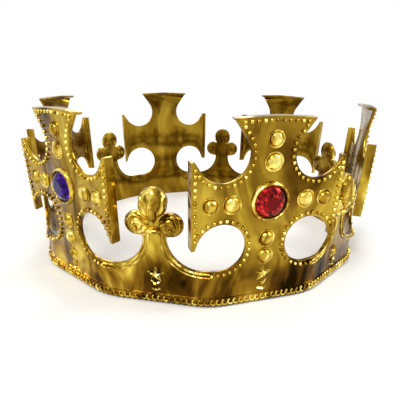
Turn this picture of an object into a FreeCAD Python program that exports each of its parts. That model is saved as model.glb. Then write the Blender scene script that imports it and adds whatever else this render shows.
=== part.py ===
import FreeCAD, Part
import math
import os

# Party crown: one moulded gold plastic ring with six crosses and six fleurs-de-lis, and a faceted
# gem glued in the bezel of each cross. Millimetres, +Z up, origin at the centre of the foot.
#
# The ring is a twelve-sided band with rounded bends. Each side is the foot of one flat leaf that
# leans outwards: crosses and fleurs take turns. A leaf is drawn in its own plane, with u along the
# band, v up the leaf from the foot and w outwards from the front face. Leaf 0 faces -Y.

V = FreeCAD.Vector

# Ring
PAIRS = 6
BAND_REACH = 90.0
FLARE_DEG = 4.0
BEND_RADIUS = 30.0
WALL = 1.6
RIM_DEPTH = 4.2
RIM_WIDTH = 1.2
SCOOP_HEIGHT = 17.4

# Cross outline
CROSS_TOP = 83.1
CROSS_TOP_BOW = 120.0
CROSS_TOP_HALF = 17.8
CROSS_TOP_CORNER_DROP = 0.8
NOTCH_IN_FROM_ARM_END = 13.6
NOTCH_BELOW_TOP = 15.1
NOTCH_RADIUS = 11.0
ARM_HALF_HIGH = 34.6
ARM_TIP_BELOW_NOTCH = 1.8
ARM_END_LEAN = 1.0
ARM_TIP_BLUNT = 1.7
SCOOP_OUT = 20.4
SCOOP_RADIUS = 11.0
LOWER_TIP_ABOVE_SCOOP = 0.3

# Fleur outline
FLEUR_SCOOP_OUT = 20.0
FLEUR_SCOOP_RADIUS = 14.9
SCROLL_OUT = 7.4
SCROLL_ABOVE_WAIST = 5.8
SCROLL_RADIUS = 5.4
LOBE_ABOVE_SCROLL = 10.1
LOBE_RADIUS = 6.1

# Bosses on the cross, six-sided and tapered
BOSS_SIDES = 6
BOSS_TOP_SHARE = 0.45
BOSS_RISE = 1.6
BOSS_OUTER_RADIUS = 3.1
BOSS_INNER_RADIUS = 3.7
BOSS_STEM_RADIUS = 3.3
BOSS_ARM_INNER = 16.9
BOSS_ARM_OUTER = 26.0
BOSS_TOP_INNER_DROP = 18.1
BOSS_TOP_OUTER_DROP = 8.9
BOSS_STEM_UPPER = 31.3
BOSS_STEM_LOWER = 22.8

# Relief on the fleur
RELIEF_SIDES = 8
LOBE_RISE = 2.8
LOBE_RIM = 0.7
SCROLL_RISE = 1.7
SCROLL_RIM = 0.3
SCROLL_CREST = 3.3
SCROLL_EYE = 1.2
SCROLL_EYE_FLOOR = 0.3
BUD_BELOW_LOBE = 11.6
BUD_SHOULDER_BELOW_LOBE = 5.8
BUD_TOP_BELOW_LOBE = 2.0
BUD_HALF = 2.3
BUD_RISE = 3.4

# Small badge on the band under every leaf: a star over a pinched waist over a diamond
BADGE_RISE = 0.7
STAR_HEIGHT = 14.3
STAR_OUTER = 3.1
STAR_INNER = 1.5
PINCH_HEIGHT = 10.2
PINCH_HALF = 0.6
FLARE_OUT_HEIGHT = 8.4
FLARE_OUT_HALF = 2.0
DIAMOND_BOTTOM = 5.3

# Rope border just above the foot
ROPE_BOTTOM = 1.7
ROPE_TOP = 4.3
ROPE_RISE = 0.8

# Gems and their bezels
GEM_RADIUS = 7.1
GEM_HEIGHT_ON_LEAF = 48.0
GEM_SIDES = 8
GEM_GIRDLE = 0.9
GEM_RISE = 3.2
GEM_TABLE_SHARE = 0.56
BEZEL_GAP = 0.15
BEZEL_WALL = 1.1
BEZEL_RISE = 1.5

# How far raised forms are rooted in the wall, and how far cutting tools run past it
ROOT = 0.6
PAST = 2.0

SIDES = 2 * PAIRS
HALF_TURN = math.pi / SIDES
FLARE = math.radians(FLARE_DEG)
SIDE_HALF = BAND_REACH * math.tan(HALF_TURN)
CROSS_WAIST = SCOOP_OUT - SCOOP_RADIUS
CROSS_JOIN = SCOOP_HEIGHT + SCOOP_RADIUS
FLEUR_WAIST = FLEUR_SCOOP_OUT - FLEUR_SCOOP_RADIUS
FLEUR_JOIN = SCOOP_HEIGHT + FLEUR_SCOOP_RADIUS
NOTCH_OUT = ARM_HALF_HIGH - NOTCH_IN_FROM_ARM_END
NOTCH_HEIGHT = CROSS_TOP - NOTCH_BELOW_TOP
ARM_TIP_HIGH = NOTCH_HEIGHT - ARM_TIP_BELOW_NOTCH
ARM_HALF_LOW = ARM_HALF_HIGH - ARM_END_LEAN
ARM_TIP_LOW = CROSS_JOIN + LOWER_TIP_ABOVE_SCOOP
SCROLL_HEIGHT = FLEUR_JOIN + SCROLL_ABOVE_WAIST
LOBE_HEIGHT = SCROLL_HEIGHT + LOBE_ABOVE_SCROLL
BAND_TOP = max(CROSS_JOIN, FLEUR_JOIN) + PAST


# Flat drawing in a leaf's plane

def circle_point(circle, normal_angle):
    """Point of a path that keeps a circle's centre on its left (radius above 0) or right."""
    u, v, signed_radius = circle
    return V(u - signed_radius * math.cos(normal_angle), v - signed_radius * math.sin(normal_angle), 0)


def tangent_normal(a, b):
    """Angle of the left normal of the straight line that leaves circle a and reaches circle b."""
    du, dv = b[0] - a[0], b[1] - a[1]
    ratio = (b[2] - a[2]) / math.hypot(du, dv)
    return math.atan2(dv, du) + math.acos(max(-1.0, min(1.0, ratio)))


def belt(circles):
    """Closed wire wrapped round circles (u, v, signed radius), counter-clockwise. Radius 0 is a corner."""
    count = len(circles)
    normals = [tangent_normal(circles[i], circles[(i + 1) % count]) for i in range(count)]
    starts, ends, edges = [], [], []
    for i, circle in enumerate(circles):
        before, after = normals[i - 1], normals[i]
        turn = (after - before) % (2 * math.pi)
        if circle[2] < 0:
            turn -= 2 * math.pi
        starts.append(circle_point(circle, before))
        ends.append(circle_point(circle, after))
        if circle[2] != 0:
            edges.append(Part.Arc(starts[i], circle_point(circle, before + turn / 2), ends[i]).toShape())
    for i in range(count):
        following = starts[(i + 1) % count]
        if ends[i].distanceToPoint(following) > 1e-4:
            edges.append(Part.LineSegment(ends[i], following).toShape())
    return Part.Wire(Part.__sortEdges__(edges))


def mirrored(right):
    """The right half's circles from the foot up, followed by their mirror images back down."""
    return right + [(-u, v, s) for u, v, s in reversed(right) if u > 1e-6]


def polygon(points):
    return Part.makePolygon([V(u, v, 0) for u, v in points] + [V(points[0][0], points[0][1], 0)])


def prism(wire, low, high):
    """Solid between two heights w above the front face."""
    face = Part.Face(wire)
    face.translate(V(0, 0, low))
    return face.extrude(V(0, 0, high - low))


def cross_outline():
    """Right half of the cross above its waist, as corners and circles to wrap round."""
    return [
        (CROSS_WAIST, CROSS_JOIN, 0.0),
        (SCOOP_OUT, CROSS_JOIN, -SCOOP_RADIUS),
        (ARM_HALF_LOW - ARM_TIP_BLUNT, ARM_TIP_LOW, 0.0),
        (ARM_HALF_LOW, ARM_TIP_LOW, 0.0),
        (ARM_HALF_HIGH, ARM_TIP_HIGH, 0.0),
        (ARM_HALF_HIGH - ARM_TIP_BLUNT, ARM_TIP_HIGH, 0.0),
        (NOTCH_OUT, NOTCH_HEIGHT, -NOTCH_RADIUS),
        (CROSS_TOP_HALF, CROSS_TOP - CROSS_TOP_CORNER_DROP, 0.0),
        (0.0, CROSS_TOP - CROSS_TOP_BOW, CROSS_TOP_BOW),
    ]


def cleft():
    """Corner between scroll and lobe, halfway across the gap between their circles."""
    apart = math.hypot(SCROLL_OUT, LOBE_ABOVE_SCROLL)
    share = (apart + SCROLL_RADIUS - LOBE_RADIUS) / (2 * apart)
    return (SCROLL_OUT * (1 - share), SCROLL_HEIGHT + LOBE_ABOVE_SCROLL * share, 0.0)


def fleur_outline():
    """Right half of the fleur above its waist."""
    return [
        (FLEUR_WAIST, FLEUR_JOIN, 0.0),
        (SCROLL_OUT, SCROLL_HEIGHT, SCROLL_RADIUS),
        cleft(),
        (0.0, LOBE_HEIGHT, LOBE_RADIUS),
    ]


def arm_rim(side):
    """Return behind the outer edge of one arm."""
    points = [(ARM_HALF_LOW, ARM_TIP_LOW), (ARM_HALF_HIGH, ARM_TIP_HIGH),
              (ARM_HALF_HIGH - RIM_WIDTH, ARM_TIP_HIGH), (ARM_HALF_LOW - RIM_WIDTH, ARM_TIP_LOW)]
    return prism(polygon([(side * u, v) for u, v in points]), -RIM_DEPTH, 0)


def top_rim():
    """Return behind the bowed top edge."""
    corner_v = CROSS_TOP - CROSS_TOP_CORNER_DROP
    right = [(CROSS_TOP_HALF - RIM_WIDTH, corner_v - RIM_WIDTH, 0.0), (CROSS_TOP_HALF, corner_v, 0.0),
             (0.0, CROSS_TOP - CROSS_TOP_BOW, CROSS_TOP_BOW)]
    return prism(belt(mirrored(right)), -RIM_DEPTH, 0)


def cross_plate():
    plate = prism(belt(mirrored(cross_outline())), -WALL, 0)
    return plate.multiFuse([arm_rim(-1), arm_rim(1), top_rim()])


def fleur_plate():
    return prism(belt(mirrored(fleur_outline())), -WALL, 0)


# Relief

def faceted(rings):
    """Closed solid from its flat faces, each a list of points."""
    faces = [Part.Face(Part.makePolygon(points + points[:1])) for points in rings]
    return Part.Solid(Part.Shell(faces))


def stacked(rings):
    """Closed solid through level rings with the same number of points, from the lowest up."""
    faces = [rings[0][::-1], rings[-1]]
    count = len(rings[0])
    for low, high in zip(rings, rings[1:]):
        faces += [[low[i], low[(i + 1) % count], high[(i + 1) % count], high[i]] for i in range(count)]
    return faceted(faces)


def ring_points(u, v, radius, w, sides, offset=0.0):
    """Corners of a regular polygon at height w. The offset turns it by a share of one side."""
    angles = [(i + offset) * 2 * math.pi / sides for i in range(sides)]
    return [V(u + radius * math.cos(a), v + radius * math.sin(a), w) for a in angles]


def stud(u, v, radius, rise):
    """Tapered boss, rooted in the wall."""
    levels = [(radius + ROOT, -ROOT), (radius * BOSS_TOP_SHARE, rise)]
    return stacked([ring_points(u, v, r, w, BOSS_SIDES, 0.5) for r, w in levels])


def bud():
    """Pointed bud at the root of the fleur's top lobe."""
    shoulder = LOBE_HEIGHT - BUD_SHOULDER_BELOW_LOBE
    base = [V(0, LOBE_HEIGHT - BUD_BELOW_LOBE, -ROOT), V(BUD_HALF, shoulder, -ROOT),
            V(0, LOBE_HEIGHT - BUD_TOP_BELOW_LOBE, -ROOT), V(-BUD_HALF, shoulder, -ROOT)]
    tip = V(0, shoulder, BUD_RISE)
    return faceted([base[::-1]] + [[base[i], base[(i + 1) % 4], tip] for i in range(4)])


def lobe():
    reach = LOBE_RADIUS - LOBE_RIM
    levels = [(reach, -ROOT), (0.8 * reach, 0.6 * LOBE_RISE), (0.4 * reach, LOBE_RISE)]
    return stacked([ring_points(0, LOBE_HEIGHT, r, w, RELIEF_SIDES, 0.5) for r, w in levels])


def scroll(side):
    """Curled petal of the fleur: a ridge round an eye."""
    u, v = side * SCROLL_OUT, SCROLL_HEIGHT
    reach = SCROLL_RADIUS - SCROLL_RIM
    ridge = stacked([ring_points(u, v, r, w, RELIEF_SIDES) for r, w in
                     [(reach, -ROOT), (SCROLL_CREST, SCROLL_RISE)]])
    eye = stacked([ring_points(u, v, r, w, RELIEF_SIDES) for r, w in
                   [(SCROLL_EYE, SCROLL_EYE_FLOOR), (SCROLL_CREST, SCROLL_RISE + SCROLL_EYE_FLOOR)]])
    return ridge.cut(eye)


def bezel():
    """Raised wall round the gem, with as many sides as the gem's girdle."""
    seat = GEM_RADIUS + BEZEL_GAP
    outside = [ring_points(0, GEM_HEIGHT_ON_LEAF, seat + BEZEL_WALL, w, 2 * GEM_SIDES) for w in (-ROOT, BEZEL_RISE)]
    inside = [ring_points(0, GEM_HEIGHT_ON_LEAF, seat, w, 2 * GEM_SIDES) for w in (-PAST, BEZEL_RISE + PAST)]
    return stacked(outside).cut(stacked(inside))


def badge():
    """Star over a pinched waist over a diamond, as one raised outline."""
    right = [(0, DIAMOND_BOTTOM), (FLARE_OUT_HALF, FLARE_OUT_HEIGHT), (PINCH_HALF, PINCH_HEIGHT)]
    star = []
    for i in range(1, 10):
        reach = STAR_INNER if i % 2 == 0 else STAR_OUTER
        angle = -math.pi / 2 + i * math.pi / 5
        star.append((reach * math.cos(angle), STAR_HEIGHT + reach * math.sin(angle)))
    left = [(-u, v) for u, v in right[:0:-1]]
    return prism(polygon(right + star + left), -ROOT, BADGE_RISE)


def cross_relief():
    pieces = [bezel(), badge()]
    for side in (-1, 1):
        pieces.append(stud(side * BOSS_ARM_INNER, GEM_HEIGHT_ON_LEAF, BOSS_INNER_RADIUS, BOSS_RISE))
        pieces.append(stud(side * BOSS_ARM_OUTER, GEM_HEIGHT_ON_LEAF, BOSS_OUTER_RADIUS, BOSS_RISE))
    pieces.append(stud(0, CROSS_TOP - BOSS_TOP_INNER_DROP, BOSS_INNER_RADIUS, BOSS_RISE))
    pieces.append(stud(0, CROSS_TOP - BOSS_TOP_OUTER_DROP, BOSS_OUTER_RADIUS, BOSS_RISE))
    pieces.append(stud(0, BOSS_STEM_UPPER, BOSS_STEM_RADIUS, BOSS_RISE))
    pieces.append(stud(0, BOSS_STEM_LOWER, BOSS_STEM_RADIUS, BOSS_RISE))
    return pieces


def fleur_relief():
    return [lobe(), scroll(-1), scroll(1), bud(), badge()]


# Band

def frustum(inset, low, high):
    """Twelve-sided flared block with rounded bends, inset from the front faces."""
    rings = []
    for z in (low, high):
        reach = BAND_REACH - inset / math.cos(FLARE) + z * math.tan(FLARE)
        rings.append(ring_points(0, 0, reach / math.cos(HALF_TURN), z, SIDES, 0.5))
    block = stacked(rings)
    slanted = [e for e in block.Edges if abs(e.Vertexes[0].Z - e.Vertexes[-1].Z) > 0.5 * (high - low)]
    return block.makeFillet(BEND_RADIUS - inset, slanted)


def scoop_edges(out, radius, side):
    """Edge of a scoop on one side of a leaf, from the bend to the waist, and its end points."""
    top = SCOOP_HEIGHT + radius
    half = radius * math.sqrt(0.5)
    end = V(side * (SIDE_HALF + PAST), SCOOP_HEIGHT, 0)
    turn = V(side * out, SCOOP_HEIGHT, 0)
    waist = V(side * (out - radius), top, 0)
    arc = Part.Arc(turn, V(side * (out - half), top - half, 0), waist).toShape()
    return [Part.LineSegment(end, turn).toShape(), arc], end, waist


def scoop_cutter(out, radius):
    """All that lies above a leaf's waist and scoops, within its side of the band."""
    right, right_end, right_waist = scoop_edges(out, radius, 1)
    left, left_end, left_waist = scoop_edges(out, radius, -1)
    high_right = V(right_end.x, BAND_TOP + PAST, 0)
    high_left = V(left_end.x, BAND_TOP + PAST, 0)
    joins = [(right_waist, left_waist), (left_end, high_left), (high_left, high_right), (high_right, right_end)]
    edges = right + left + [Part.LineSegment(a, b).toShape() for a, b in joins]
    return prism(Part.Wire(Part.__sortEdges__(edges)), -WALL - 2 * PAST, 2 * PAST)


def leaf_placement(index):
    """Placement of a leaf's drawing plane on side number index of the band."""
    angle = 2 * HALF_TURN * index
    out = V(math.sin(angle), -math.cos(angle), 0)
    along = V(math.cos(angle), math.sin(angle), 0)
    up = out * math.sin(FLARE) + V(0, 0, math.cos(FLARE))
    front = along.cross(up)
    foot = out * BAND_REACH
    return FreeCAD.Placement(FreeCAD.Matrix(along.x, up.x, front.x, foot.x,
                                            along.y, up.y, front.y, foot.y,
                                            along.z, up.z, front.z, foot.z,
                                            0, 0, 0, 1))


def placed(shape, index):
    copy = shape.copy()
    copy.Placement = leaf_placement(index).multiply(copy.Placement)
    return copy


def band():
    """Ring below the waists, with the scoops cut out of it, and the rope border's carrier."""
    top = BAND_TOP * math.cos(FLARE)
    ring = frustum(0, 0, top).cut(frustum(WALL, -PAST, top + PAST))
    cross_cutter = scoop_cutter(SCOOP_OUT, SCOOP_RADIUS)
    fleur_cutter = scoop_cutter(FLEUR_SCOOP_OUT, FLEUR_SCOOP_RADIUS)
    cutters = [placed(cross_cutter if i % 2 == 0 else fleur_cutter, i) for i in range(SIDES)]
    low, high = ROPE_BOTTOM * math.cos(FLARE), ROPE_TOP * math.cos(FLARE)
    rope = frustum(-ROPE_RISE, low, high).cut(frustum(ROOT, low - PAST, high + PAST))
    return ring.cut(cutters).fuse(rope)


def crown_body():
    cross = cross_plate().multiFuse(cross_relief())
    fleur = fleur_plate().multiFuse(fleur_relief())
    leaves = [placed(cross if i % 2 == 0 else fleur, i) for i in range(SIDES)]
    return band().multiFuse(leaves).removeSplitter()


def gem():
    """Round stone with a flat table, drawn standing on the leaf's front face."""
    half = math.pi / GEM_SIDES
    table_radius = GEM_RADIUS * GEM_TABLE_SHARE
    middle_radius = (GEM_RADIUS + table_radius) / 2
    slope = (GEM_RISE - GEM_GIRDLE) / (GEM_RADIUS - table_radius)
    middle_rise = GEM_GIRDLE + slope * (GEM_RADIUS - middle_radius * math.cos(half))
    centre = (0, GEM_HEIGHT_ON_LEAF)
    base = ring_points(*centre, GEM_RADIUS, 0, 2 * GEM_SIDES)
    girdle = ring_points(*centre, GEM_RADIUS, GEM_GIRDLE, 2 * GEM_SIDES)
    middle = ring_points(*centre, middle_radius, middle_rise, GEM_SIDES)
    table = ring_points(*centre, table_radius, GEM_RISE, GEM_SIDES, 0.5)
    faces = [base[::-1], table]
    for i in range(2 * GEM_SIDES):
        j = (i + 1) % (2 * GEM_SIDES)
        faces.append([base[i], base[j], girdle[j], girdle[i]])
    for i in range(GEM_SIDES):
        j = (i + 1) % GEM_SIDES
        on, before, after = girdle[2 * i], girdle[2 * i - 1], girdle[2 * i + 1]
        faces.append([before, on, middle[i]])
        faces.append([on, after, middle[i]])
        faces.append([table[i - 1], middle[i], table[i]])
        faces.append([middle[i], after, middle[j], table[i]])
    return faceted(faces)


GEM_PLACES = ["front", "front_right", "back_right", "back", "back_left", "front_left"]

os.makedirs("parts", exist_ok=True)
crown_body().exportStep("parts/crown_body.step")
stone = gem()
for number, place in enumerate(GEM_PLACES):
    placed(stone, 2 * number).exportStep("parts/gem_" + place + ".step")
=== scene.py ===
# %% [markdown]
# A party crown, dressed in Blender.
#
# The real object is one injection moulding in plastic that was coated with gold in a vacuum, and six
# faceted gems glued into it. The solids give its shape and size, and load here as a fixed frame.
# This lesson adds what is too fine for the solids: beads, rope links, petals, cut stones and finishes.

# %% Load the frame
import bpy
import bmesh
import math
import random
from mathutils import Matrix, Vector


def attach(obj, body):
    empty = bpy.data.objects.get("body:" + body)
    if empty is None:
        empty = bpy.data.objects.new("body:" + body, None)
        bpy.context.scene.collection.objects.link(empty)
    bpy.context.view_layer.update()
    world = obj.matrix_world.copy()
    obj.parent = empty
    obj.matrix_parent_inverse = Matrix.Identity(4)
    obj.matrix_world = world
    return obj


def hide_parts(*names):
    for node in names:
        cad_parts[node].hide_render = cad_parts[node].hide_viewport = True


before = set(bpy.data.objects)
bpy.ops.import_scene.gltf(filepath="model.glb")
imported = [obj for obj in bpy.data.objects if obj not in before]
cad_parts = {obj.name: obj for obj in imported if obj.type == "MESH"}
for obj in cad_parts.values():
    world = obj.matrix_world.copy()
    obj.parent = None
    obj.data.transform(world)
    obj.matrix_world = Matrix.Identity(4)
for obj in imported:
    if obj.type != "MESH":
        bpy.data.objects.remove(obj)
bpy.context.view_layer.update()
print("nodes", sorted(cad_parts))

# %% [markdown]
# The sizes below repeat the crown's construction in millimetres. Every leaf (a cross or a fleur) is
# flat, stands on one of twelve sides and leans outwards by four degrees. A point on a leaf is given
# as u along the band, v up the leaf and w out of its face, and one function carries it into space.

# %% Sizes and the way from a leaf to the crown
MM = 0.001
SIDES = 12
SIDE_REACH = 90.0
LEAN = math.radians(4.0)
SIDE_HALF = SIDE_REACH * math.tan(math.pi / SIDES)
BEND_RADIUS = 30.0
GEM_V = 48.0
GEM_RADIUS = 7.1
CROSSES = range(0, SIDES, 2)
FLEURS = range(1, SIDES, 2)


def leaf_matrix(index):
    """Turns (u, v, w) millimetres on a leaf into metres in the crown's frame."""
    angle = 2 * math.pi * index / SIDES
    out = Vector((math.sin(angle), -math.cos(angle), 0))
    along = Vector((math.cos(angle), math.sin(angle), 0))
    up = out * math.sin(LEAN) + Vector((0, 0, math.cos(LEAN)))
    front = along.cross(up)
    rows = [[along[i] * MM, up[i] * MM, front[i] * MM, out[i] * SIDE_REACH * MM] for i in range(3)]
    return Matrix(rows + [[0, 0, 0, 1]])


LEAVES = [leaf_matrix(i) for i in range(SIDES)]
print("leaves", len(LEAVES), "side half", round(SIDE_HALF, 2), "mm")

# %% [markdown]
# Materials come first. One function turns a hex colour as a person picks it on a screen into the
# linear values that the renderer works in, and one helper adds a node with its settings and links.

# %% Colour and node helpers
def linear(hex_colour):
    """sRGB hex to linear RGBA."""
    channels = [int(hex_colour[i:i + 2], 16) / 255 for i in (1, 3, 5)]
    return tuple(c / 12.92 if c <= 0.04045 else ((c + 0.055) / 1.055) ** 2.4 for c in channels) + (1.0,)


def add(tree, kind, settings=None, **inputs):
    """Adds one node. The setting "stops" fills a colour ramp with (place, hex) pairs. An input is
    named, or i and its number, and gets a value or a socket to link from."""
    node = tree.nodes.new(kind)
    for name, value in (settings or {}).items():
        if name == "stops":
            elements = node.color_ramp.elements
            while len(elements) < len(value):
                elements.new(0.5)
            for element, (place, colour) in zip(elements, value):
                element.position = place
                element.color = linear(colour)
        else:
            setattr(node, name, value)
    for name, value in inputs.items():
        numbered = name[0] == "i" and name[1:].isdigit()
        socket = node.inputs[int(name[1:]) if numbered else name.replace("_", " ")]
        if isinstance(value, bpy.types.NodeSocket):
            tree.links.new(value, socket)
        else:
            socket.default_value = value
    return node


def start(name):
    """A new material, its node tree and its shader."""
    material = bpy.data.materials.new(name)
    material.use_nodes = True
    tree = material.node_tree
    return material, tree, tree.nodes["Principled BSDF"]


print("helpers ready, mid grey is", round(linear("#808080")[0], 3))

# %% [markdown]
# The gold is aluminium vapour on glossy styrene under a yellow lacquer. Its colour also carries painted
# reflections: it runs between brown, olive and lemon in upright streaks a few centimetres apart, standing
# in for what the mirror-like skin reflects. Painted dark reflections make it darkest on the flat band near
# the foot, and the raised forms get a brighter ramp as painted highlights.
# Inner faces get a duller, browner ramp. The moulded skin is a
# little wavy (about 6 mm from wave to wave), which breaks up the reflections; the inside is calmer.
#
# A face counts as outside by the angle between its normal and the way out from the axis. The painted
# reflection streaks are noise in space, and an offset moves that space so that the light ones fall
# where the real crown shows its bright reflections.

# %% Gold-lacquered metallised styrene
# Painted reflections: this offset and stretch place the upright light and dark streaks of base colour.
REFLECTION_STREAK_FROM = (0.88, 0.48, 0.84)
REFLECTION_STREAK_STRETCH = (1.0, 1.0, 0.4)
FACING_INSIDE = -0.7
FACING_OUTSIDE = -0.2
# The painted dark reflection on the band near the foot fades out over this height, in metres.
DARK_REFLECTION_FADE = 0.012
INNER_CALM = 0.15
HAZE_LOW = 0.7
HAZE_HIGH = 1.4
# Outer faces: the gold runs from dark to light along the painted reflection streaks.
OUTER_STOPS = [(0.31, "#2A1A02"), (0.42, "#6C4C10"), (0.52, "#9A7A22"), (0.62, "#C0A236"),
               (0.74, "#EAD45C")]
INNER_STOPS = [(0.3, "#5E420A"), (0.5, "#8A6A18"), (0.7, "#BC9A34")]
# Ramp of the painted dark reflection on the band near the foot.
DARK_REFLECTION_STOPS = [(0.38, "#1E1202"), (0.49, "#5A3C0C"), (0.58, "#9A7420"), (0.68, "#E6C850")]
# Raised forms: a brighter ramp as painted highlights, in small patches of painted reflection.
RELIEF_STOPS = [(0.3, "#64480E"), (0.42, "#A27E24"), (0.52, "#D6B644"), (0.64, "#FAEC8A")]


def metallised_gold(name, stops, roughness, reflection_scale, wave_scale, wave_height, dark_reflection_top):
    """Gold lacquer with painted reflections in its colour. The waves are wave_height mm high, and the
    painted dark reflection on the band ends at the last argument's height in metres.
    """
    material, tree, shader = start(name)
    place = add(tree, "ShaderNodeTexCoord").outputs["Object"]
    streaked = add(tree, "ShaderNodeVectorMath", dict(operation="MULTIPLY_ADD"),
                   i0=place, i1=REFLECTION_STREAK_STRETCH, i2=REFLECTION_STREAK_FROM)
    # Painted reflection streaks: noise that picks how light or dark the gold is.
    reflection_streaks = add(tree, "ShaderNodeTexNoise", Vector=streaked.outputs["Vector"],
                Scale=reflection_scale, Detail=3.0, Roughness=0.55, Distortion=0.9)
    outer = add(tree, "ShaderNodeValToRGB", dict(stops=stops), Fac=reflection_streaks.outputs["Fac"])
    inner = add(tree, "ShaderNodeValToRGB", dict(stops=INNER_STOPS), Fac=reflection_streaks.outputs["Fac"])
    level = add(tree, "ShaderNodeVectorMath", dict(operation="MULTIPLY"), i0=place, i1=(1.0, 1.0, 0.0))
    outward = add(tree, "ShaderNodeVectorMath", dict(operation="NORMALIZE"), i0=level.outputs["Vector"])
    facing = add(tree, "ShaderNodeVectorMath", dict(operation="DOT_PRODUCT"), i0=outward.outputs["Vector"],
                 i1=add(tree, "ShaderNodeNewGeometry").outputs["Normal"])
    share = add(tree, "ShaderNodeMapRange", Value=facing.outputs["Value"],
                From_Min=FACING_INSIDE, From_Max=FACING_OUTSIDE)
    # Painted dark reflection: a darker ramp on the band below the given height.
    dark_reflection = add(tree, "ShaderNodeValToRGB", dict(stops=DARK_REFLECTION_STOPS), Fac=reflection_streaks.outputs["Fac"])
    height = add(tree, "ShaderNodeSeparateXYZ", Vector=place)
    clear_of_dark_reflection = add(tree, "ShaderNodeMapRange", Value=height.outputs["Z"],
              From_Min=dark_reflection_top - DARK_REFLECTION_FADE, From_Max=dark_reflection_top)
    face = add(tree, "ShaderNodeMix", dict(data_type="RGBA"),
               i0=clear_of_dark_reflection.outputs["Result"], i6=dark_reflection.outputs["Color"], i7=outer.outputs["Color"])
    colour = add(tree, "ShaderNodeMix", dict(data_type="RGBA"),
                 i0=share.outputs["Result"], i6=inner.outputs["Color"], i7=face.outputs[2])
    tree.links.new(colour.outputs[2], shader.inputs["Base Color"])
    haze = add(tree, "ShaderNodeTexNoise", Vector=place, Scale=120.0, Detail=2.0)
    rough = add(tree, "ShaderNodeMapRange", Value=haze.outputs["Fac"],
                To_Min=roughness * HAZE_LOW, To_Max=roughness * HAZE_HIGH)
    tree.links.new(rough.outputs["Result"], shader.inputs["Roughness"])
    wave = add(tree, "ShaderNodeTexNoise", Vector=place, Scale=wave_scale, Detail=1.0)
    calm = add(tree, "ShaderNodeMapRange", Value=share.outputs["Result"],
               To_Min=INNER_CALM * wave_height * MM, To_Max=wave_height * MM)
    bump = add(tree, "ShaderNodeBump", Strength=1.0,
               Distance=calm.outputs["Result"], Height=wave.outputs["Fac"])
    tree.links.new(bump.outputs["Normal"], shader.inputs["Normal"])
    shader.inputs["Metallic"].default_value = 1.0
    return material


GOLD = metallised_gold("gold_lacquer_on_styrene", OUTER_STOPS, roughness=0.17, reflection_scale=52.0,
                       wave_scale=160.0, wave_height=0.6, dark_reflection_top=0.024)
# Relief gold: the brighter ramp is painted highlight, with finer painted reflection patches and no painted
# dark band.
GOLD_RELIEF = metallised_gold("gold_lacquer_on_relief", RELIEF_STOPS, roughness=0.14, reflection_scale=210.0,
                              wave_scale=420.0, wave_height=0.5, dark_reflection_top=0.0)
print("materials", GOLD.name, GOLD_RELIEF.name)

# %% [markdown]
# The gems are cast acrylic with foil behind them. Light goes in, bounces off the foil and leaves
# through another facet, so each facet sends back its own amount of light. That light is painted: a
# number stored on every facet picks how light or dark its colour is, and a clear coat on top gives the
# hard white glints.

# %% Foil-backed acrylic
# The bright ends of these ramps paint the foil's light coming back through a facet.
RED_STOPS = [(0.0, "#200203"), (0.35, "#6E070B"), (0.7, "#AC1214"), (1.0, "#E63C32")]
PURPLE_STOPS = [(0.0, "#0A011C"), (0.35, "#1E0450"), (0.7, "#360A7E"), (1.0, "#6430B8")]


def foiled_acrylic(name, stops):
    """Clear coloured acrylic over foil, with each facet's returned light painted into its colour, read
    from the facet.
    """
    material, tree, shader = start(name)
    facet = add(tree, "ShaderNodeAttribute", dict(attribute_name="facet_depth"))
    colour = add(tree, "ShaderNodeValToRGB", dict(stops=stops), Fac=facet.outputs["Fac"])
    tree.links.new(colour.outputs["Color"], shader.inputs["Base Color"])
    place = add(tree, "ShaderNodeTexCoord").outputs["Object"]
    cloud = add(tree, "ShaderNodeTexNoise", Vector=place, Scale=300.0)
    rough = add(tree, "ShaderNodeMapRange", Value=cloud.outputs["Fac"], To_Min=0.05, To_Max=0.16)
    tree.links.new(rough.outputs["Result"], shader.inputs["Roughness"])
    shader.inputs["Metallic"].default_value = 1.0
    shader.inputs["Coat Weight"].default_value = 0.2
    shader.inputs["Coat Roughness"].default_value = 0.03
    return material


RED_GEM = foiled_acrylic("red_foiled_acrylic", RED_STOPS)
PURPLE_GEM = foiled_acrylic("purple_foiled_acrylic", PURPLE_STOPS)
print("materials", RED_GEM.name, PURPLE_GEM.name)

# %% [markdown]
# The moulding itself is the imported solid. Its mesh arrives as loose triangles, so a copy is merged
# at its corners, and a Bevel modifier gives its edges the small radius that any moulding has.

# %% The moulding with soft edges
EDGE_RADIUS = 0.3
MERGE_GAP = 0.002


def finish_mesh(name, mesh, material, smooth_angle=40.0):
    """Makes the object at the origin, shades it, and ties it to the crown."""
    piece = bpy.data.objects.new(name, mesh)
    bpy.context.collection.objects.link(piece)
    mesh.materials.clear()
    mesh.materials.append(material)
    mesh.shade_smooth()
    mesh.set_sharp_from_angle(angle=math.radians(smooth_angle))
    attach(piece, "root")
    print(name, len(mesh.polygons), "faces")
    return piece


def applied(piece, name):
    """Plain mesh of an object with its modifiers worked out."""
    depsgraph = bpy.context.evaluated_depsgraph_get()
    mesh = bpy.data.meshes.new_from_object(piece.evaluated_get(depsgraph))
    mesh.name = name
    return mesh


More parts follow.
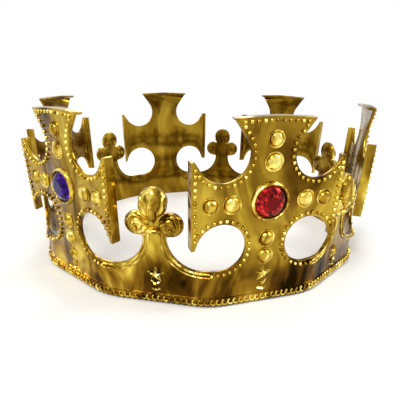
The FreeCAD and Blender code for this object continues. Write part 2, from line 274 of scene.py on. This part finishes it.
body = bmesh.new()
body.from_mesh(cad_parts["crown_body"].data)
bmesh.ops.remove_doubles(body, verts=body.verts, dist=MERGE_GAP * MM)
merged = bpy.data.meshes.new("moulding_merged")
body.to_mesh(merged)
body.free()
rough_body = bpy.data.objects.new("moulding_rough", merged)
bpy.context.collection.objects.link(rough_body)
bevel = rough_body.modifiers.new("edge_radius", "BEVEL")
bevel.width = EDGE_RADIUS * MM
bevel.segments = 2
bevel.limit_method = "ANGLE"
bevel.angle_limit = math.radians(40)
bevel.use_clamp_overlap = False
soft_mesh = applied(rough_body, "crown_moulding")
bpy.data.objects.remove(rough_body)
moulding = finish_mesh("crown_moulding", soft_mesh, GOLD)
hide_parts("crown_body")

# %% [markdown]
# Beads and ribs follow the leaf's edge at a small distance inside it. The edge is a belt wrapped
# round circles: a positive radius keeps the circle's centre on the left of the path, a negative
# one on its right, and radius 0 is a corner. The path is then moved inwards, and points that the
# move would leave too near the edge are dropped, which rounds the inner corners as on the moulding.

# %% Paths along the edge
PATH_STEP = 0.4
SAME_POINT = 0.05
INSET_SLACK = 0.03
BEAD_INSET = 1.6
RIB_INSETS = (0.8, 2.5)
BAND_CORNER = (SIDE_HALF, 17.4, 0)
SCOOP = (20.4, 28.4, -11.0)
ARM_END = [(31.9, 28.7, 0), (33.6, 28.7, 0), (34.6, 66.2, 0), (32.9, 66.2, 0)]
NOTCH = (21.0, 68.0, -11.0)
TOP_CORNER = (17.8, 82.3, 0)
TOP_ARC = (0, -36.9, 120.0)
FLEUR_SCOOP = (20.0, 32.3, -14.9)
FLEUR_WAIST = [(5.1, 32.3, 0), (5.1, 34.0, 0)]


def belt(circles):
    """Points every PATH_STEP along a path round circles (u, v, signed radius), interior on its left."""
    def normal(a, b):
        ratio = (b[2] - a[2]) / math.hypot(b[0] - a[0], b[1] - a[1])
        return math.atan2(b[1] - a[1], b[0] - a[0]) + math.acos(max(-1.0, min(1.0, ratio)))

    corners = []
    for i, (u, v, r) in enumerate(circles):
        before = normal(circles[i - 1], circles[i]) if i > 0 else None
        after = normal(circles[i], circles[i + 1]) if i + 1 < len(circles) else None
        first = after if before is None else before
        last = before if after is None else after
        turn = (last - first) % (2 * math.pi)
        if r < 0:
            turn -= 2 * math.pi
        steps = max(1, round(abs(turn * r) / PATH_STEP)) if r else 0
        for k in range(steps + 1):
            angle = first + turn * k / max(1, steps)
            corners.append(Vector((u - r * math.cos(angle), v - r * math.sin(angle))))
    points = [corners[0]]
    for corner in corners[1:]:
        begin = points[-1]
        steps = max(1, round((corner - begin).length / PATH_STEP))
        for k in range(1, steps + 1):
            points.append(begin.lerp(corner, k / steps))
    return [p for i, p in enumerate(points) if i == 0 or (p - points[i - 1]).length > SAME_POINT]


def moved_in(points, distance):
    """The path moved to its left by a distance, without the points that come too near the edge."""
    kept = []
    for i, point in enumerate(points):
        way = (points[min(i + 1, len(points) - 1)] - points[max(i - 1, 0)]).normalized()
        moved = point + Vector((-way.y, way.x)) * distance
        if min((moved - other).length for other in points) > distance - INSET_SLACK:
            kept.append(moved)
    return kept


def mirrored(circles):
    """The right half of an edge, then its left half."""
    return circles + [(-u, v, r) for u, v, r in reversed(circles) if u > 0]


def path_object(name, paths, cyclic=False):
    """Curve object with one straight-run spline for each list of points in metres."""
    curve = bpy.data.curves.new(name, "CURVE")
    curve.dimensions = "3D"
    for points in paths:
        spline = curve.splines.new("POLY")
        spline.points.add(len(points) - 1)
        for point, place in zip(spline.points, points):
            point.co = (*place, 1.0)
        spline.use_cyclic_u = cyclic
    path = bpy.data.objects.new(name, curve)
    bpy.context.collection.objects.link(path)
    return path


def on_leaf(index, points, w):
    """Points of a flat path set on a leaf, w proud of its face."""
    return [LEAVES[index] @ Vector((p.x, p.y, w)) for p in points]


CROSS_EDGE = belt(mirrored([BAND_CORNER, SCOOP, *ARM_END, NOTCH, TOP_CORNER, TOP_ARC]))
FLEUR_FOOT = belt([BAND_CORNER, FLEUR_SCOOP, *FLEUR_WAIST])
CROSS_BEADS = moved_in(CROSS_EDGE, BEAD_INSET)
FLEUR_RIBS = [moved_in(FLEUR_FOOT, inset) for inset in RIB_INSETS]
print("edge points", len(CROSS_EDGE), "bead path", len(CROSS_BEADS), "ribs", [len(r) for r in FLEUR_RIBS])

# %% [markdown]
# Geometry Nodes set the beads. The tree walks along the path at a fixed pitch and puts one low
# bead on every step. Its sizes are named inputs, so the same tree makes any row of beads.

# %% Bead rows
BEAD_OUT = 0.2


def new_tree(name, inputs):
    """Geometry tree with named inputs, and its two ends."""
    tree = bpy.data.node_groups.new(name, "GeometryNodeTree")
    tree.interface.new_socket("Geometry", in_out="INPUT", socket_type="NodeSocketGeometry")
    tree.interface.new_socket("Geometry", in_out="OUTPUT", socket_type="NodeSocketGeometry")
    for title, value in inputs.items():
        socket = tree.interface.new_socket(title, in_out="INPUT", socket_type="NodeSocketFloat")
        socket.default_value = value
    return tree, tree.nodes.new("NodeGroupInput"), tree.nodes.new("NodeGroupOutput")


def close_tree(tree, out, geometry, material):
    """Ends a tree: instances made real, material set."""
    real = add(tree, "GeometryNodeRealizeInstances", Geometry=geometry)
    painted = add(tree, "GeometryNodeSetMaterial", Geometry=real.outputs["Geometry"], Material=material)
    tree.links.new(painted.outputs["Geometry"], out.inputs["Geometry"])


def through_tree(name, source, tree, material, smooth_angle=60.0):
    """Runs a node tree on a helper object and keeps the result as a plain piece."""
    modifier = source.modifiers.new(name, "NODES")
    modifier.node_group = tree
    mesh = applied(source, name)
    bpy.data.objects.remove(source)
    return finish_mesh(name, mesh, material, smooth_angle)


bead_tree, given, out = new_tree("bead_row", {"Pitch": 2.75 * MM, "Bead radius": 0.85 * MM})
steps = add(bead_tree, "GeometryNodeResampleCurve", dict(mode="LENGTH"),
            Curve=given.outputs["Geometry"], Length=given.outputs["Pitch"])
bead = add(bead_tree, "GeometryNodeMeshUVSphere", Segments=8, Rings=5, Radius=given.outputs["Bead radius"])
set_out = add(bead_tree, "GeometryNodeInstanceOnPoints",
              Points=steps.outputs["Curve"], Instance=bead.outputs["Mesh"])
close_tree(bead_tree, out, set_out.outputs["Instances"], GOLD_RELIEF)
bead_paths = path_object("bead_paths", [on_leaf(i, CROSS_BEADS, BEAD_OUT) for i in CROSSES])
through_tree("bead_rows", bead_paths, bead_tree, GOLD_RELIEF, smooth_angle=180.0)

# %% [markdown]
# The fleurs have no beads but two thin ribs along the edge. The same kind of path becomes a thin
# round rod that is half sunk in the face, as a line cut into the mould leaves it.

# %% Ribs on the fleurs
RIB_OUT = 0.1
RIB_EVERY = 3

rib_tree, given, out = new_tree("rib", {"Rib radius": 0.5 * MM})
section = add(rib_tree, "GeometryNodeCurvePrimitiveCircle",
              Resolution=8, Radius=given.outputs["Rib radius"])
rod = add(rib_tree, "GeometryNodeCurveToMesh", i0=given.outputs["Geometry"], i1=section.outputs["Curve"],
          Fill_Caps=True)
close_tree(rib_tree, out, rod.outputs["Mesh"], GOLD_RELIEF)
rib_paths = []
for i in FLEURS:
    for rib in FLEUR_RIBS:
        rib_paths.append(on_leaf(i, rib[::RIB_EVERY], RIB_OUT))
        rib_paths.append(on_leaf(i, [Vector((-p.x, p.y)) for p in rib[::RIB_EVERY]], RIB_OUT))
through_tree("fleur_ribs", path_object("rib_paths", rib_paths), rib_tree, GOLD_RELIEF)

# %% [markdown]
# A rope border runs round just above the foot. Each link is a short curved bar, leaning as a
# strand of rope does, and the tree sets one every 2.6 mm on a path that rounds the twelve bends.

# %% Rope border
ROPE_V = 3.0
ROPE_OUT = 1.0
BEND_STEPS = 4
LINK_START = math.radians(90)
LINK_SWEEP = math.radians(200)


def ring_path(v, w):
    """Points of a closed path round the band at height v on the leaves, w proud of the face."""
    reach = SIDE_REACH + v * math.sin(LEAN) + w * math.cos(LEAN)
    z = v * math.cos(LEAN) - w * math.sin(LEAN)
    centre = (reach - BEND_RADIUS - w) / math.cos(math.pi / SIDES)
    points = []
    for i in range(SIDES):
        bend = 2 * math.pi * (i + 0.5) / SIDES
        for k in range(-BEND_STEPS, BEND_STEPS + 1):
            angle = bend + math.pi / SIDES * k / BEND_STEPS
            x = centre * math.sin(bend) + (BEND_RADIUS + w) * math.sin(angle)
            y = -centre * math.cos(bend) - (BEND_RADIUS + w) * math.cos(angle)
            points.append(Vector((x, y, z)) * MM)
    return points


rope_tree, given, out = new_tree("rope_border", {"Pitch": 2.6 * MM, "Strand radius": 0.62 * MM,
                                                 "Link radius": 1.3 * MM, "Lean": math.radians(28)})
steps = add(rope_tree, "GeometryNodeResampleCurve", dict(mode="LENGTH"),
            Curve=given.outputs["Geometry"], Length=given.outputs["Pitch"])
strand = add(rope_tree, "GeometryNodeCurveArc", Resolution=6, Radius=given.outputs["Link radius"],
             Start_Angle=LINK_START, Sweep_Angle=LINK_SWEEP)
section = add(rope_tree, "GeometryNodeCurvePrimitiveCircle",
              Resolution=6, Radius=given.outputs["Strand radius"])
link = add(rope_tree, "GeometryNodeCurveToMesh", i0=strand.outputs["Curve"], i1=section.outputs["Curve"],
           Fill_Caps=True)
tangent = add(rope_tree, "GeometryNodeInputTangent")
upright = add(rope_tree, "FunctionNodeAxesToRotation", dict(primary_axis="X", secondary_axis="Y"),
              Primary_Axis=tangent.outputs["Tangent"], Secondary_Axis=(0.0, 0.0, 1.0))
set_out = add(rope_tree, "GeometryNodeInstanceOnPoints", Points=steps.outputs["Curve"],
              Instance=link.outputs["Mesh"], Rotation=upright.outputs["Rotation"])
spin = add(rope_tree, "ShaderNodeCombineXYZ", Z=given.outputs["Lean"])
leaning = add(rope_tree, "GeometryNodeRotateInstances",
              Instances=set_out.outputs["Instances"], Rotation=spin.outputs["Vector"])
close_tree(rope_tree, out, leaning.outputs["Instances"], GOLD_RELIEF)
rope_path = path_object("rope_path", [ring_path(ROPE_V, ROPE_OUT)], cyclic=True)
through_tree("rope_border", rope_path, rope_tree, GOLD_RELIEF)

# %% [markdown]
# Bosses, bezels and petals are turned or domed shapes. A profile of (radius, height) is turned
# about the leaf's normal, so one short function makes them all, and each covers the plainer
# form that the solid has at the same place.

# %% Turned relief
ROOT = -0.3
BOSS_HEIGHT = 2.1
BOSSES = [(-16.9, GEM_V, 3.5), (16.9, GEM_V, 3.5), (-26.0, GEM_V, 3.0), (26.0, GEM_V, 3.0),
          (0, 65.0, 3.5), (0, 74.2, 3.0), (0, 31.3, 3.2), (0, 22.8, 3.2)]
BEZEL = [(8.9, ROOT), (8.75, 0.7), (8.3, 1.5), (7.8, 1.75), (7.35, 1.4), (7.2, 0.2)]


def corner(mesh, matrix, u, v, w):
    """Adds one vertex at (u, v, w) on a leaf."""
    return mesh.verts.new(matrix @ Vector((u, v, w)))


def turned(mesh, matrix, u, v, profile, segments, stretch=(1.0, 1.0)):
    """Adds a closed shape turned about (u, v) on a leaf. The profile runs from the outside inwards."""
    rings = []
    for radius, height in profile:
        if radius == 0:
            rings.append([corner(mesh, matrix, u, v, height)])
            continue
        ring = []
        for k in range(segments):
            angle = 2 * math.pi * k / segments
            ring.append(corner(mesh, matrix, u + radius * stretch[0] * math.cos(angle),
                               v + radius * stretch[1] * math.sin(angle), height))
        rings.append(ring)
    for outer, inner in zip(rings, rings[1:]):
        for k in range(segments):
            m = (k + 1) % segments
            if len(inner) == 1:
                mesh.faces.new([outer[k], outer[m], inner[0]])
            else:
                mesh.faces.new([outer[k], outer[m], inner[m], inner[k]])
    if len(rings[-1]) == 1:
        mesh.faces.new(rings[0][::-1])
        return
    for k in range(segments):
        m = (k + 1) % segments
        mesh.faces.new([rings[-1][k], rings[-1][m], rings[0][m], rings[0][k]])


def dome(radius, height, steps=5):
    """Profile of a dome that is rooted just under the face."""
    turns = [math.pi / 2 * k / steps for k in range(steps)]
    return [(radius, ROOT)] + [(radius * math.cos(a), height * math.sin(a)) for a in turns] + [(0, height)]


def boss_profile(radius):
    """Shallow ring round a groove and a dome."""
    ring = [(radius + 0.75, ROOT), (radius + 0.7, 0.35), (radius + 0.35, 0.5), (radius, 0.25)]
    return ring + dome(radius * 0.97, BOSS_HEIGHT)[1:]


def relief_piece(name, mesh, smooth_angle):
    """Turns the built mesh into a piece in relief gold."""
    data = bpy.data.meshes.new(name)
    mesh.to_mesh(data)
    mesh.free()
    return finish_mesh(name, data, GOLD_RELIEF, smooth_angle)


relief = bmesh.new()
for i in CROSSES:
    for u, v, radius in BOSSES:
        turned(relief, LEAVES[i], u, v, boss_profile(radius), 20)
    turned(relief, LEAVES[i], 0, GEM_V, BEZEL, 48)
relief_piece("bosses_and_bezels", relief, 50.0)

# %% [markdown]
# A fleur is a bunch of petals held by a collar. The middle of the bunch is a tall pointed leaf
# between two shorter ones, and a fat petal curls down and outwards on each side. Each petal is a
# leaf-shaped dome: it is swollen at its root and comes to a point, and where two domes meet they
# leave the dark crease that draws the flower.

# %% Petals
PETAL_ROOT = -0.15
PETAL_ROWS = 12
PETAL_SPANS = 8
HEAD_V = 48.2
LOBE_U, LOBE_V = 7.4, 38.1
HEAD = [(5.95, ROOT), (5.8, 0.6), (5.0, 1.5), (3.6, 2.9), (0, 3.1)]
LOBE = [(5.3, ROOT), (5.1, 0.6), (4.2, 1.1), (0, 1.8)]


def petal(mesh, matrix, root, tip, half_width, height, bend=0.0):
    """Leaf-shaped dome from root to tip, bent sideways in its middle."""
    root, tip = Vector(root), Vector(tip)
    along = tip - root
    aside = Vector((-along.y, along.x)).normalized()
    rows = []
    for step in range(1, PETAL_ROWS):
        t = step / PETAL_ROWS
        width = half_width * math.sin(math.pi * t ** 0.75) ** 0.8
        middle = root + along * t + aside * bend * math.sin(math.pi * t)
        rise = height * math.sin(math.pi * t ** 0.8) ** 0.6
        row = []
        for k in range(PETAL_SPANS + 1):
            angle = math.pi * k / PETAL_SPANS
            place = middle + aside * width * math.cos(angle)
            row.append(corner(mesh, matrix, place.x, place.y, rise * math.sin(angle) + PETAL_ROOT))
        rows.append(row)
    first = corner(mesh, matrix, root.x, root.y, PETAL_ROOT)
    last = corner(mesh, matrix, tip.x, tip.y, PETAL_ROOT)
    for low, high in zip(rows, rows[1:]):
        for k in range(PETAL_SPANS):
            mesh.faces.new([low[k], low[k + 1], high[k + 1], high[k]])
    for k in range(PETAL_SPANS):
        mesh.faces.new([first, rows[0][k + 1], rows[0][k]])
        mesh.faces.new([last, rows[-1][k], rows[-1][k + 1]])
    mesh.faces.new([first] + [row[0] for row in rows] + [last] + [row[-1] for row in reversed(rows)])


petals = bmesh.new()
for i in FLEURS:
    turned(petals, LEAVES[i], 0, HEAD_V, HEAD, 28)
    petal(petals, LEAVES[i], (0, 38.5), (0, 54.0), 2.5, 4.3)
    turned(petals, LEAVES[i], 0, 35.4, dome(2.2, 2.7, 4), 16, stretch=(2.0, 0.62))
    for side in (-1, 1):
        petal(petals, LEAVES[i], (side * 1.4, 41.5), (side * 4.6, 51.6), 2.0, 3.7, -side * 1.2)
        petal(petals, LEAVES[i], (side * 1.6, 37.0), (side * 10.6, 34.0), 2.3, 3.2, side * 4.6)
        petal(petals, LEAVES[i], (side * 2.0, 39.2), (side * 12.0, 35.6), 1.2, 2.6, side * 5.2)
        turned(petals, LEAVES[i], side * LOBE_U, LOBE_V, LOBE, 24)
        turned(petals, LEAVES[i], side * 7.6, 36.3, dome(1.3, 2.9, 4), 12)
bmesh.ops.recalc_face_normals(petals, faces=petals.faces)
relief_piece("fleur_petals", petals, 50.0)

# %% [markdown]
# Under every leaf the band carries a small badge: a star, a pinched waist and a diamond. The star
# is a low five-sided pyramid with its creases running to its points, which is what makes it glint.

# %% Badges
BADGE_ROOT = -0.1
STAR_V = 14.0
STAR_OUTER = 4.3
STAR_INNER = 1.9
WAIST_V = 9.4
WAIST = [(0.7, WAIST_V), (2.4, 10.8), (-2.4, 10.8), (-0.7, WAIST_V), (-2.4, 8.0), (2.4, 8.0)]
DIAMOND_V = 6.6
DIAMOND = [(2.3, DIAMOND_V), (0, 8.1), (-2.3, DIAMOND_V), (0, 5.2)]


def pointed(mesh, matrix, outline, tip_v, rise):
    """Low closed pyramid over an outline of (u, v) points, with its tip in the middle of the leaf."""
    base = [corner(mesh, matrix, u, v, BADGE_ROOT) for u, v in outline]
    peak = corner(mesh, matrix, 0, tip_v, rise)
    for k in range(len(base)):
        mesh.faces.new([base[k], base[(k + 1) % len(base)], peak])
    mesh.faces.new(base[::-1])


def star_point(k):
    """One of the ten corners of the star, the even ones outside."""
    radius = STAR_OUTER if k % 2 == 0 else STAR_INNER
    angle = math.pi / 2 + math.pi * k / 5
    return radius * math.cos(angle), STAR_V + radius * math.sin(angle)


badges = bmesh.new()
for matrix in LEAVES:
    pointed(badges, matrix, [star_point(k) for k in range(10)], STAR_V, 2.1)
    pointed(badges, matrix, WAIST, WAIST_V, 1.6)
    pointed(badges, matrix, DIAMOND, DIAMOND_V, 1.6)
relief_piece("band_badges", badges, 20.0)

# %% [markdown]
# Each gem is cut as a shallow rose: a girdle, then two rows of facets round a flat table. The
# facets stay flat-shaded, and each one stores its own painted light: how bright the foil's returned light
# makes its colour.

# %% Cut stones
FACETS = 16
GEM_ROWS = [(GEM_RADIUS, 0.0, 0.0), (GEM_RADIUS, 0.9, 0.0), (5.9, 2.0, 0.5), (4.6, 2.8, 0.0),
            (3.1, 3.2, 0.5)]
# Painted light of the flat table, as a place on the colour ramp.
TABLE_PAINTED_LIGHT = 0.3
FIRST_SEED = 7
GEM_PLACES = ["front", "front_right", "back_right", "back", "back_left", "front_left"]


def cut_stone(name, matrix, seed):
    """Faceted round stone on a leaf. A row is (radius, height, shift by a part of a facet)."""
    mesh = bmesh.new()
    rings = []
    for radius, height, shift in GEM_ROWS:
        turns = [2 * math.pi * (k + shift) / FACETS for k in range(FACETS)]
        rings.append([corner(mesh, matrix, radius * math.cos(a), GEM_V + radius * math.sin(a), height)
                      for a in turns])
    for k in range(FACETS):
        m = (k + 1) % FACETS
        mesh.faces.new([rings[0][k], rings[0][m], rings[1][m], rings[1][k]])
        mesh.faces.new([rings[1][k], rings[1][m], rings[2][k]])
        mesh.faces.new([rings[1][m], rings[2][m], rings[2][k]])
        mesh.faces.new([rings[2][k], rings[2][m], rings[3][m]])
        mesh.faces.new([rings[3][k], rings[2][k], rings[3][m]])
        mesh.faces.new([rings[3][k], rings[3][m], rings[4][k]])
        mesh.faces.new([rings[3][m], rings[4][m], rings[4][k]])
    mesh.faces.new(rings[4])
    mesh.faces.new(rings[0][::-1])
    stone = bpy.data.meshes.new(name)
    mesh.to_mesh(stone)
    mesh.free()
    # Painted light: each facet gets a random brightness for the light its foil sends back, and the table
    # gets a fixed one.
    painted_light = stone.attributes.new("facet_depth", "FLOAT", "FACE")
    chance = random.Random(seed)
    for polygon in stone.polygons:
        painted_light.data[polygon.index].value = TABLE_PAINTED_LIGHT if len(polygon.vertices) > 4 else chance.random()
    return stone


for number, place in enumerate(GEM_PLACES):
    red = number % 2 == 0
    name = "stone_" + place
    stone = bpy.data.objects.new(name, cut_stone(name, LEAVES[2 * number], FIRST_SEED + number))
    bpy.context.collection.objects.link(stone)
    stone.data.materials.append(RED_GEM if red else PURPLE_GEM)
    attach(stone, "root")
    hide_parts("gem_" + place)
print("stones", len(GEM_PLACES))

# %% [markdown]
# The crown stands on a pale floor that melts into a white background. The floor is solid white
# near the crown, where the soft shadow falls, and fades out further away. The camera and mirror
# reflections see the background at full white, while it lights the scene with a little more than half.

# %% Floor and background
FLOOR_HALF = 2
FADE_FROM = 0.16
FADE_TO = 0.42
ROOM_LIGHT = 0.55
PAPER_STOPS = [(0.3, "#F4F4F2"), (0.7, "#FAFAF8")]

floor_mesh = bpy.data.meshes.new("studio_floor")
floor_corners = [(x * FLOOR_HALF, y * FLOOR_HALF, 0) for x, y in ((-1, -1), (1, -1), (1, 1), (-1, 1))]
floor_mesh.from_pydata(floor_corners, [], [(0, 1, 2, 3)])
floor = bpy.data.objects.new("studio_floor", floor_mesh)
bpy.context.collection.objects.link(floor)
floor_paint, tree, shader = start("white_sweep_paper")
place = add(tree, "ShaderNodeTexCoord").outputs["Object"]
reach = add(tree, "ShaderNodeVectorMath", dict(operation="LENGTH"), i0=place)
fade = add(tree, "ShaderNodeMapRange", dict(interpolation_type="SMOOTHSTEP"), Value=reach.outputs["Value"],
           From_Min=FADE_FROM, From_Max=FADE_TO)
grain = add(tree, "ShaderNodeTexNoise", Vector=place, Scale=900.0)
paper = add(tree, "ShaderNodeValToRGB", dict(stops=PAPER_STOPS), Fac=grain.outputs["Fac"])
tree.links.new(paper.outputs["Color"], shader.inputs["Base Color"])
shader.inputs["Roughness"].default_value = 0.9
clear = add(tree, "ShaderNodeBsdfTransparent")
mixed = add(tree, "ShaderNodeMixShader",
            i0=fade.outputs["Result"], i1=shader.outputs["BSDF"], i2=clear.outputs["BSDF"])
tree.links.new(mixed.outputs["Shader"], tree.nodes["Material Output"].inputs["Surface"])
floor_mesh.materials.append(floor_paint)

world = bpy.data.worlds.new("white_room")
bpy.context.scene.world = world
world.use_nodes = True
tree = world.node_tree
rays = add(tree, "ShaderNodeLightPath")
mirror = add(tree, "ShaderNodeMath", dict(operation="MAXIMUM"),
             i0=rays.outputs["Is Camera Ray"], i1=rays.outputs["Is Glossy Ray"])
seen = add(tree, "ShaderNodeMath", dict(operation="MAXIMUM"),
           i0=mirror.outputs["Value"], i1=rays.outputs["Is Transmission Ray"])
strength = add(tree, "ShaderNodeMapRange", Value=seen.outputs["Value"], To_Min=ROOM_LIGHT, To_Max=1.0)
tree.links.new(strength.outputs["Result"], tree.nodes["Background"].inputs["Strength"])
tree.nodes["Background"].inputs["Color"].default_value = (1, 1, 1, 1)
print("floor", floor.name, "and background", world.name)

# %% [markdown]
# Three large soft lamps light it: one from the upper left in front, a weaker one from the right and
# one from behind. The camera stands where the photograph's perspective puts it, about 25 cm away and
# a little above.

# %% Lamps and camera
AIM = Vector((0, 0, 0.04))
LAMPS = [("key_lamp", (-0.45, -0.5, 0.75), 0.35, 6.0),
         ("fill_lamp", (0.7, -0.25, 0.5), 0.3, 2.5),
         ("back_lamp", (0.1, 0.7, 0.6), 0.4, 3.0)]
CAMERA_PLACE = (-0.07771, -0.23543, 0.09768)
CAMERA_RIGHT = Vector((0.95017, -0.31142, 0.01424))
CAMERA_UP = Vector((0.07972, 0.28686, 0.95465))
CAMERA_AHEAD = Vector((0.30138, 0.90594, -0.29739))

for name, place, size, watts in LAMPS:
    light = bpy.data.lights.new(name, "AREA")
    light.shape = "SQUARE"
    light.size = size
    light.energy = watts
    lamp = bpy.data.objects.new(name, light)
    bpy.context.collection.objects.link(lamp)
    lamp.location = place
    lamp.rotation_euler = (AIM - Vector(place)).to_track_quat("-Z", "Y").to_euler()

camera_data = bpy.data.cameras.new("camera")
camera_data.sensor_width = 36.0
camera_data.lens = 36.42
camera = bpy.data.objects.new("camera", camera_data)
bpy.context.collection.objects.link(camera)
camera_rows = [[CAMERA_RIGHT[i], CAMERA_UP[i], -CAMERA_AHEAD[i], CAMERA_PLACE[i]] for i in range(3)]
camera.matrix_world = Matrix(camera_rows + [[0, 0, 0, 1]])
bpy.context.scene.camera = camera
bpy.context.scene.view_settings.view_transform = "Standard"
print("lamps", len(LAMPS), "and a camera with a", round(camera_data.lens, 2), "mm lens")
